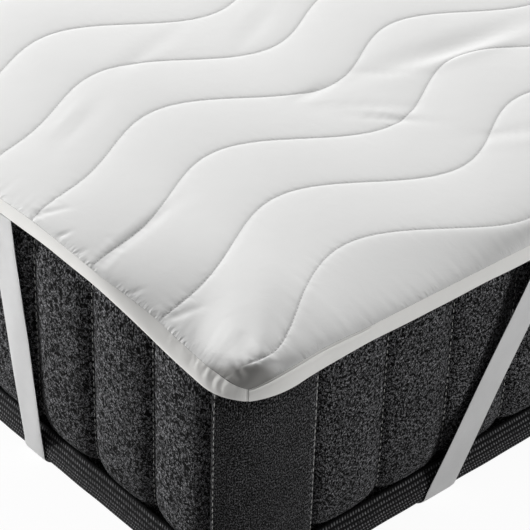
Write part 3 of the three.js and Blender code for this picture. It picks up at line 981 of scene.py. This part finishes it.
strips = {
    "steps": (1.25, 4.5),  # between stations along the rim, by the corners and between them
    "closeBy": 124,
    "gatherHeight": 0.15,
    # place, width, height
    "folds": ((24, 3, 0.35), (34, 3.6, 0.65), (47, 4.8, 0.55), (61, 4.2, 0.4), (77, 6, 0.3)),
    "foldLean": 6,
    "unevenEdge": 0.5,
    "ribFrom": 6,  # the raised rib by the seam, at the corners of the long sides
    "ribTo": 105,
    "ribHeight": 1.1,
    # round the section: share of the way down, height above the chord
    "outer": ((0.006, 0.03), (0.04, 0.12), (0.09, 0.22), (0.15, 0.34), (0.23, 0.44), (0.34, 0.52),
              (0.47, 0.56), (0.6, 0.54), (0.73, 0.44), (0.84, 0.22), (0.92, -0.12), (0.975, -0.6),
              (1.0, -1.2)),
    # the inner layer ends below the rim of the pad
    "inner": ((0.985, -1.9), (0.93, -2.4), (0.8, -2.6), (0.6, -2.65), (0.47, -2.6), (0.38, -2.4),
              (0.34, -2.2)),
    "slit": ((0.36, -1.7), (0.42, -1.8), (0.55, -1.85), (0.7, -1.8), (0.88, -1.6), (0.92, -1.3),
             (0.88, -0.75), (0.7, -0.05), (0.4, 0.15), (0.2, 0.0), (0.06, -0.12)),
}


# a run of rim places between two corners
def rimRun(side):
    halfX, halfY = outline["rimX"], outline["rimY"]
    half = halfX if side in ("Front", "Back") else halfY
    close, wide = strips["steps"]
    inner = half - strips["closeBy"]
    inset = 0.16  # the strips meet at the corners, a hair apart
    corner = np.linspace(inner, half - inset, round(strips["closeBy"] / close))
    between = np.linspace(-inner, inner, round(2 * inner / wide))
    along = np.concatenate([-corner[::-1], between[1:-1], corner])
    fixed = np.ones_like(along)
    return {
        "Front": (-along, -halfY * fixed),
        "Left": (-halfX * fixed, along),
        "Back": (along, halfY * fixed),
        "Right": (halfX * fixed, -along),
    }[side]


def buildStrip(side):
    v = strips
    x, y = rimRun(side)
    onSide = side in ("Left", "Right")
    seam = rimPoint(x, y, 0, 0, seamHeight(x, y))
    low = rimPoint(x, y, insetX, insetY, hemLow(x, y) + v["unevenEdge"] * ripple(x + y, (61, 97, 143), 51))
    run = np.append(0, np.cumsum(np.linalg.norm(np.diff(seam, axis=0), axis=1)))
    tangent = np.gradient(seam, axis=0)
    chord = low - seam
    lift = np.cross(tangent, chord)
    lift = lift / np.linalg.norm(lift, axis=1, keepdims=True)
    lift = lift * np.sign(lift[:, 2:] + 10 * np.sum(lift * seam * [1, 1, 0], axis=1, keepdims=True) / 1000)

    dx, dy = fromSide(x), fromEnd(y)
    fromCorner = dy if onSide else dx
    if onSide:
        wave = ripple(y, gathers["sideLengths"], 41) * 0.35
    else:
        wave = gatherWave(seam[:, 0], 0) * cornerShare(fromSide(seam[:, 0]))
        wave = wave + 0.25 * ripple(x, gathers["endLengths"], 31)
    folds = [] if onSide else v["folds"]
    rib = smoothStep((fromCorner - v["ribFrom"]) / 8) * onSide
    rib = rib * (1 - smoothStep((fromCorner - v["ribTo"]) / 40))
    joint = hill(fromCorner - insetX, 2.2)

    points, cloth = [], []
    girth = 0.0
    section = v["outer"] + v["inner"] + v["slit"]
    for n, (f, b) in enumerate(section):
        isOuter = n < len(v["outer"])
        height = b * np.ones_like(run)
        if isOuter:
            height = height + v["gatherHeight"] * wave * math.exp(-(f / 0.45) ** 2) * smoothStep(f / 0.08)
            height = height + v["ribHeight"] * rib * (math.exp(-((f - 0.10) / 0.045) ** 2)
                                                      - 0.8 * math.exp(-((f - 0.2) / 0.05) ** 2))
            height = height - 0.9 * joint * smoothStep(f / 0.2)
            for place, width, high in folds:
                off = fromCorner - place + v["foldLean"] * (f - 0.4) ** 2 * 3
                height = height + high * hill(off, width) * hill(f - 0.42, 0.3)
                height = height - 0.35 * high * hill(off - 1.6 * width, 2) * hill(f - 0.25, 0.28)
        if n:
            girth += math.hypot((f - section[n - 1][0]) * 12, b - section[n - 1][1])
        points.append(seam + f * chord + height[:, None] * lift)
        cloth.append(np.stack([run, np.full_like(run, girth)], -1))
    points, cloth = np.stack(points, 1), np.stack(cloth, 1)
    rows, columns = points.shape[:2]
    faces = gridFaces(rows, columns, wrapColumns=True)
    faces += [list(range(columns))[::-1], list(range((rows - 1) * columns, rows * columns))]
    piece = makePiece("edgeStrip" + side, points.reshape(-1, 3), faces, materials["binding"],
                      ["binding" + side], clothMap=cloth.reshape(-1, 2) * mm)
    return piece


for side in ("Front", "Left", "Back", "Right"):
    buildStrip(side)


# the elastic straps round the corners of the mattress

straps = {
    "thick": 1.2,
    "foldRadius": 5,
    "outX": 451.5,  # outer faces of the bands at the foot
    "outY": 1001.5,
    "topOutX": 461.7,
    "endTopZ": 225.2,
    "sideTopZ": 212.2,
    # distances from the corner of the strips: far and near edge
    "endTop": (323.6, 289.2),
    "endFoot": (283.5, 256),
    "sideFoot": (245, 209),
    "sideTop": (348, 315.4),
    "columns": 12,
}


# a bent line through four places, with the two bends rounded
def bentLine(places, radius, counts):
    places = [np.array(p, float) for p in places]
    line = []
    start = places[0]
    for n in (1, 2):
        before, bend, after = places[n - 1], places[n], places[n + 1]
        entry = bend + (before - bend) / np.linalg.norm(before - bend) * radius
        leave = bend + (after - bend) / np.linalg.norm(after - bend) * radius
        t = np.linspace(0, 1, counts[2 * n - 2], endpoint=False)[:, None]
        line.append(start + (entry - start) * t)
        t = np.linspace(0, 1, counts[2 * n - 1], endpoint=False)[:, None]
        line.append((1 - t) ** 2 * entry + 2 * t * (1 - t) * bend + t * t * leave)
        start = leave
    t = np.linspace(0, 1, counts[4])[:, None]
    line.append(start + (places[3] - start) * t)
    return np.concatenate(line)


def buildStrap(name, signX, signY):
    v = straps
    halfX, halfY = outline["hemX"], outline["hemY"]

    def edge(which):
        return bentLine([
            (halfX - v["endTop"][which], v["outY"], v["endTopZ"]),
            (halfX - v["endFoot"][which], v["outY"], 0),
            (v["outX"], halfY - v["sideFoot"][which], 0),
            (v["topOutX"], halfY - v["sideTop"][which], v["sideTopZ"]),
        ], v["foldRadius"], (46, 7, 24, 7, 46))

    far, near = edge(0), edge(1)
    share = 0.5 - 0.5 * np.cos(np.linspace(0, math.pi, v["columns"] + 1))
    middle = (far + near) / 2
    along = np.gradient(middle, axis=0)
    outward = np.cross(near - far, along)
    outward = outward / np.linalg.norm(outward, axis=1, keepdims=True)
    outward = outward * np.sign(np.sum(outward[:1] * [0, 1, 0]))
    run = np.append(0, np.cumsum(np.linalg.norm(np.diff(middle, axis=0), axis=1)))
    width = np.linalg.norm(near - far, axis=1)

    outer, inner, cloth = [], [], []
    for s in share:
        surface = far + (near - far) * s
        wave = 0.25 * np.sin(run / 23 + 5 * s + signX) * np.minimum(1, run / 30)
        edgeRound = 0.35 * v["thick"] * (2 * s - 1) ** 8
        lift = np.minimum(0.0, (wave - 0.3) * (np.abs(surface[:, 2]) > 6))
        outer.append(surface + outward * (lift - edgeRound)[:, None])
        inner.append(surface + outward * (lift - v["thick"] + edgeRound)[:, None])
        cloth.append(np.stack([s * width, run], -1))
    ring = np.stack(outer + inner[::-1], 1)
    clothMap = np.stack(cloth + cloth[::-1], 1)
    ring = ring * [signX, signY, 1]
    rows, columns = ring.shape[:2]
    faces = gridFaces(rows, columns, wrapColumns=True)
    faces += [list(range(columns))[::-1], list(range((rows - 1) * columns, rows * columns))]
    piece = makePiece("elastic" + name, ring.reshape(-1, 3), faces, materials["elastic"],
                      ["strap" + name], clothMap=clothMap.reshape(-1, 2) * mm)
    return piece


corners = {"FrontRight": (1, -1), "FrontLeft": (-1, -1), "BackRight": (1, 1), "BackLeft": (-1, 1)}


# the mattress: a border quilted in upright channels, plain top and bottom

bed = {
    "channelDepth": 10.5,
    "cornerDepth": 1.6,
    "footIn": 14,  # how far the border is drawn in over the tape
    "footSeam": 7,  # and how much further in the seams
    "swellTo": 74,  # height at which the channels stand full
    "endSeams": 12,
    "endSeamAt": 429,
    "sideSeams": 26,
    "sideSeamAt": 920,
    "roundness": 3.2,
    "across": (0, 0.02, 0.06, 0.13, 0.23, 0.36),
    "tuckFrom": 26,
    "tapeSeat": 2.9,
    "seatTo": 11,  # height to which the border stands full behind the tape
    "grooveDepth": 1.6,
    "crownIn": 120,
    "puckerHeight": 0.8,  # between the stitches of the seams
    "puckerReach": 3.0,
    "topRings": ((216, 14), (221, 20), (223.5, 32), (225.5, 50), (231, 84)),  # height and distance in
}


borderStitches = {
    "pitch": 6.3,
    "length": 3.6,
    "width": 0.95,
    "height": 0.6,
    "rise": (0.25, 1.2),  # out of the seam, at the corners and between the channels
    "from": 32,  # lowest and highest stitch
    "to": 214,
}


def borderPlaces():
    shares = np.array(bed["across"] + (0.5,) + tuple(1 - s for s in bed["across"][:0:-1]))
    sides = []
    for half, seamAt, seams in ((outline["bedX"], bed["endSeamAt"], bed["endSeams"]),
                                (outline["bedY"], bed["sideSeamAt"], bed["sideSeams"])):
        step = 2 * seamAt / (seams - 1)
        nearCorner = np.linspace(0, 1, 12, endpoint=False)
        at = [-half + (half - seamAt) * nearCorner]
        relief = [1 - np.abs(nearCorner) ** 3]
        panel = [0 * nearCorner]
        for i in range(seams - 1):
            at.append(-seamAt + (i + shares) * step)
            relief.append(1 - np.abs(2 * shares - 1) ** bed["roundness"])
            panel.append(np.full(len(shares), 1.0 if seams == bed["endSeams"] else 0.55))
        back = np.linspace(0, 1, 12, endpoint=False)
        at.append(seamAt + (half - seamAt) * back)
        relief.append(1 - (1 - back) ** 3)
        panel.append(0 * back)
        sides.append(tuple(np.concatenate(part) for part in (at, relief, panel)))
    (endAt, endRelief, endPanel), (longAt, longRelief, longPanel) = sides
    endFixed, longFixed = np.full_like(endAt, outline["bedY"]), np.full_like(longAt, outline["bedX"])
    x = np.concatenate([endAt, longFixed, -endAt, -longFixed])
    y = np.concatenate([-endFixed, longAt, endFixed, -longAt])
    relief = np.concatenate([endRelief, longRelief, endRelief, longRelief])
    panel = np.concatenate([endPanel, longPanel, endPanel, longPanel])
    return x, y, relief, panel


borderX, borderY, borderRelief, borderPanel = borderPlaces()


# a place on the border: how far in from the crest, at a height
def borderPoint(x, y, inward, z):
    halfX, halfY = outline["bedX"] - inward, outline["bedY"] - inward
    px, py = roundedCorner(x * halfX / outline["bedX"], y * halfY / outline["bedY"], halfX, halfY,
                           outline["bedCorner"])
    sag = hang["bedSag"] * clamp01(1 - (outline["bedX"] - np.abs(x)) / hang["bedReach"]) ** 1.4
    sag = sag * clamp01(1 - (outline["bedY"] - np.abs(y)) / 110) ** 2
    return np.stack(np.broadcast_arrays(px, py, z - sag * z / outline["bedTop"]), -1)


def footInward(relief, panel):
    return bed["footIn"] + bed["footSeam"] * (1 - relief) * np.minimum(1, 2 * panel)


# how far in the border lies: relief is 0 in the seams and 1 on the crest of a channel
def borderInward(relief, panel, z):
    t = clamp01((z - bed["tuckFrom"]) / (bed["swellTo"] - bed["tuckFrom"]))
    swell = np.sqrt(1 - (1 - t) ** 2)
    deep = mix(bed["cornerDepth"], bed["channelDepth"], np.minimum(1, 2 * panel))
    deep = deep * np.interp(z, (190, 222), (1, 0.2))
    inward = footInward(relief, panel) * (1 - swell) + swell * (1 - relief) * deep
    return inward + 8 * clamp01((z - 184) / 26) ** 2


def smoothPanel():
    edge = np.minimum(np.roll(borderPanel, 1), np.roll(borderPanel, -1))
    return np.minimum(borderPanel, edge)


# distance along the border to the nearest seam
def seamGaps(run):
    seams = run[borderRelief < 1e-6]
    return np.min(np.abs(run[:, None] - seams[None, :]), axis=1)


def buildMattress():
    v = bed
    x, y, relief, panel = borderX, borderY, borderRelief, borderPanel
    step = np.hypot(np.diff(x, append=x[0]), np.diff(y, append=y[0]))
    run = np.append(0, np.cumsum(step)[:-1])
    depthPanel = smoothPanel()
    pucker = v["puckerHeight"] * np.exp(-seamGaps(run) / v["puckerReach"]) * np.minimum(1, 2 * depthPanel)
    rings, cloth = [], []

    def addRing(points, height):
        rings.append(points)
        cloth.append(np.stack([run, np.full_like(run, height)], -1))

    # underside, from the middle out, with the grooves that the straps press in
    for inward in (330, 300) + tuple(range(272, 10, -14)) + (8,):
        low = borderPoint(x, y, inward, 0.0)
        addRing(low + [0, 0, 1] * grooveAt(low)[:, None], -inward)
    for z in (2.4, v["seatTo"]):
        points = borderPoint(x, y, v["tapeSeat"], z)
        addRing(points + [0, 0, 1] * (grooveAt(points) * (z < 3))[:, None], z)
    addRing(borderPoint(x, y, 7, v["seatTo"] + 1), v["seatTo"] + 1)
    for z in (v["seatTo"] + 2, 20):
        addRing(borderPoint(x, y, footInward(relief, depthPanel), z), z)
    half = borderStitches["pitch"] / 2
    levels = v["tuckFrom"] + np.array((0, 0.4, 1.5, 3.5, 6))
    levels = np.concatenate([levels, np.arange(borderStitches["from"] + half / 2, 206, half), (209, 212)])
    for n, z in enumerate(levels):
        full = clamp01((z - 40) / 20)
        slack = 0.8 * (1 + unevenness(run, z * np.ones_like(run), 33, 9)) * relief * full
        beads = pucker * full * (1 if n % 2 else -1)
        addRing(borderPoint(x, y, borderInward(relief, depthPanel, z) + slack + beads, z), z)
    for z, inward in v["topRings"] + ((outline["bedTop"], v["crownIn"]),):
        addRing(borderPoint(x, y, inward, z) if z < outline["bedTop"] else topRing(x, y), z + inward)
    points = np.concatenate(rings)
    clothMap = np.concatenate(cloth)
    rows, columns = len(rings), len(x)
    faces = gridFaces(rows, columns, wrapColumns=True)
    points = np.concatenate([points, [[0, 0, 0], [0, 0, outline["bedTop"]]]])
    clothMap = np.concatenate([clothMap, [[0, 0], [0, 0]]])
    for ring, middle in ((0, len(points) - 2), (rows - 1, len(points) - 1)):
        faces += [[ring * columns + i, ring * columns + (i + 1) % columns, middle] for i in range(columns)]
    values = {"channel": np.append(np.tile(panel, rows), (0, 0))}
    mattress = makePiece("mattressCover", points, faces, materials["mattress"], ["mattress"],
                         values, clothMap * mm)
    return mattress


def topRing(x, y):
    px = x * (1 - bed["crownIn"] / outline["bedX"])
    py = y * (1 - bed["crownIn"] / outline["bedY"])
    return np.stack(np.broadcast_arrays(px, py, outline["bedTop"]), -1)


# depth of the strap grooves at places on the underside
def grooveAt(points):
    ax, ay = np.abs(points[:, 0]), np.abs(points[:, 1])
    endFoot, sideFoot = straps["endFoot"], straps["sideFoot"]
    start = np.array([outline["hemX"] - sum(endFoot) / 2, straps["outY"]])
    end = np.array([straps["outX"], outline["hemY"] - sum(sideFoot) / 2])
    along = (end - start) / np.linalg.norm(end - start)
    off = np.abs((ax - start[0]) * along[1] - (ay - start[1]) * along[0])
    return bed["grooveDepth"] * (1 - smoothStep((off - 19) / 10))


buildMattress()
for name, (signX, signY) in corners.items():
    buildStrap(name, signX, signY)


# the ribbed tape round the foot of the border

tapes = {
    "low": 2,
    "high": 25,
    "thick": 2.2,
    "ribs": 7,
    "ribHeight": 0.5,
    "step": 6,
    "leanFrom": 11,  # the upper half leans in over the foot of the border
    "leanIn": 9.5,
}


def tapeLean(z):
    return tapes["leanIn"] * max(0, (z - tapes["leanFrom"]) / (tapes["high"] - tapes["leanFrom"])) ** 1.8


def buildTape(side):
    v = tapes
    onEnd = side in ("Front", "Back")
    half, other = (outline["bedX"], outline["bedY"]) if onEnd else (outline["bedY"], outline["bedX"])
    straight = half - outline["bedCorner"]
    inner = np.linspace(-straight, straight, round(2 * half / v["step"]))
    turn = np.linspace(0, 1, 10)[1:] * (outline["bedCorner"] - 0.15)
    at = np.concatenate([-straight - turn[::-1], inner, straight + turn])
    sign = 1 if side in ("Back", "Right") else -1
    fixed = np.full_like(at, sign * other)
    x, y = (at * -sign, fixed) if onEnd else (fixed, at * sign)
    run = at - at[0]
    levels = np.linspace(v["low"], v["high"], v["ribs"] * 6 + 1)
    points, cloth = [], []
    for z in levels:
        edge = min(z - v["low"], v["high"] - z)
        turns = (z - v["low"]) / (v["high"] - v["low"]) * v["ribs"]
        rib = 0.5 + 0.5 * math.cos(2 * math.pi * turns + math.pi)
        inward = v["ribHeight"] * (1 - rib) + 0.9 * max(0, 1 - edge / 0.9) ** 2
        wobble = 0.35 * (1 + ripple(run, (83, 131, 47), 71))
        points.append(borderPoint(x, y, inward + wobble + tapeLean(z), z))
        cloth.append(np.stack([run, np.full_like(run, z)], -1))
    for z in (v["high"] - 0.2, 22.5, 19.5, 16, 13, v["leanFrom"], v["low"] + 0.2):
        points.append(borderPoint(x, y, v["thick"] + 0.3 + tapeLean(z), z))
        cloth.append(np.stack([run, np.full_like(run, z)], -1))
    points, cloth = np.stack(points, 1), np.stack(cloth, 1)
    rows, columns = points.shape[:2]
    faces = gridFaces(rows, columns, wrapColumns=True)
    faces += [list(range(columns))[::-1], list(range((rows - 1) * columns, rows * columns))]
    piece = makePiece("footTape" + side, points.reshape(-1, 3), faces, materials["tape"],
                      ["tape" + side], clothMap=cloth.reshape(-1, 2) * mm)
    return piece


for side in ("Front", "Right", "Back", "Left"):
    buildTape(side)


# the stitching of the border seams

def buildBorderStitches():
    v = borderStitches
    isSeam = borderRelief < 1e-6
    depthPanel = smoothPanel()
    z = np.arange(v["from"], v["to"], v["pitch"])
    centres, alongs, ups = [], [], []
    for i in np.flatnonzero(isSeam):
        x, y = borderX[i], borderY[i]
        low = borderPoint(x, y, borderInward(0, depthPanel[i], z), z)
        high = borderPoint(x, y, borderInward(0, depthPanel[i], z + 1), z + 1)
        out = np.array([x / outline["bedX"], y / outline["bedY"]])
        out = np.where(np.abs(out) > 0.999, np.sign(out), 0)
        normal = np.tile([out[0], out[1], 0.0], (len(z), 1))
        centres.append(low + normal * mix(*v["rise"], min(1, 2 * depthPanel[i])))
        alongs.append(high - low)
        ups.append(normal)
    centres, alongs, ups = (np.concatenate(part) for part in (centres, alongs, ups))
    return makeStitches("borderStitches", centres, alongs, ups, v["length"], v["width"], v["height"],
                        materials["greyThread"])


buildBorderStitches()


# floor, light and camera

def buildStage():
    mesh = bpy.data.meshes.new("floor")
    size = 6.0
    places = [(x * size, y * size, -0.0005) for x, y in ((-1, -1), (1, -1), (1, 1), (-1, 1))]
    mesh.from_pydata(places, [], [(0, 1, 2, 3)])
    floor = bpy.data.objects.new("floor", mesh)
    scene.collection.objects.link(floor)
    material, n = newMaterial("whiteFloor")
    path = n.add("ShaderNodeLightPath").outputs
    seen = n.math("MAXIMUM", path["Is Camera Ray"], n.math("MAXIMUM", path["Is Glossy Ray"],
                                                          path["Is Transmission Ray"]))
    plain = n.add("ShaderNodeBsdfDiffuse", {"Color": shade(225, 225, 225)}).outputs[0]
    pale = n.add("ShaderNodeBsdfDiffuse", {"Color": (0.10, 0.10, 0.10, 1)}).outputs[0]
    glow = n.add("ShaderNodeEmission", {"Color": (1, 1, 1, 1), "Strength": 0.95}).outputs[0]
    white = n.add("ShaderNodeAddShader", {0: pale, 1: glow}).outputs[0]
    both = n.add("ShaderNodeMixShader", {0: seen, 1: plain, 2: white}).outputs[0]
    n.tree.links.new(both, n.add("ShaderNodeOutputMaterial").inputs["Surface"])
    mesh.materials.append(material)


def buildWorld(strength):
    world = bpy.data.worlds.new("studio")
    world.use_nodes = True
    world.node_tree.nodes.clear()
    n = Nodes(world.node_tree)
    path = n.add("ShaderNodeLightPath").outputs
    seen = n.math("MAXIMUM", path["Is Camera Ray"], n.math("MAXIMUM", path["Is Glossy Ray"],
                                                          path["Is Transmission Ray"]))
    soft = n.add("ShaderNodeBackground", {"Color": (1, 1, 1, 1), "Strength": strength}).outputs[0]
    white = n.add("ShaderNodeBackground", {"Color": (1, 1, 1, 1), "Strength": 1.0}).outputs[0]
    both = n.add("ShaderNodeMixShader", {0: seen, 1: soft, 2: white}).outputs[0]
    n.tree.links.new(both, n.add("ShaderNodeOutputWorld").inputs["Surface"])
    scene.world = world


# a square lamp that gives the stated share of full light at its target; angles in degrees
def addLamp(name, compass, rise, distance, size, share, target):
    light = bpy.data.lights.new(name, "AREA")
    light.shape = "SQUARE"
    light.size = size
    light.energy = share * math.pi ** 2 * distance ** 2
    lamp = bpy.data.objects.new(name, light)
    flat = math.cos(math.radians(rise))
    place = Vector((math.cos(math.radians(compass)) * flat, math.sin(math.radians(compass)) * flat,
                    math.sin(math.radians(rise)))) * distance
    lamp.location = Vector(target) + place
    lamp.rotation_euler = place.to_track_quat("Z", "Y").to_euler()
    scene.collection.objects.link(lamp)


view = {
    "sensor": 36,
    "lens": 135.13,
    "place": (1.2987, -1.7466, 1.0714),
    "ahead": (-0.6177, 0.5607, -0.5514),
    "roll": 1.73,  # degrees
}


def addCamera():
    data = bpy.data.cameras.new("camera")
    data.sensor_width = view["sensor"]
    data.lens = view["lens"]
    camera = bpy.data.objects.new("camera", data)
    ahead = Vector(view["ahead"]).normalized()
    roll = math.radians(view["roll"])
    right = ahead.cross(Vector((0, 0, 1))).normalized()
    up = right.cross(ahead)
    tiltedRight = right * math.cos(roll) + up * math.sin(roll)
    tiltedUp = up * math.cos(roll) - right * math.sin(roll)
    turn = Matrix((tiltedRight, tiltedUp, -ahead)).transposed().to_4x4()
    turn.translation = Vector(view["place"])
    camera.matrix_world = turn
    scene.collection.objects.link(camera)
    scene.camera = camera


lamps = {
    "keyLamp": {"compass": 156, "rise": 37, "distance": 9.0, "size": 2.8, "share": 1.18,
                "target": (0.1, -0.4, 0.24)},
    "frontLamp": {"compass": 206, "rise": 1.5, "distance": 2.4, "size": 0.6, "share": 1.5,
                  "target": (0.25, -1.0, 0.12)},
    "sideLamp": {"compass": 22, "rise": 1, "distance": 2.6, "size": 0.5, "share": 0.45,
                 "target": (0.45, -0.75, 0.15)},
}

buildStage()
buildWorld(strength=0.16)
for name, lamp in lamps.items():
    addLamp(name, **lamp)
addCamera()
scene.view_settings.view_transform = "Standard"
print("stage, lamps and camera set")
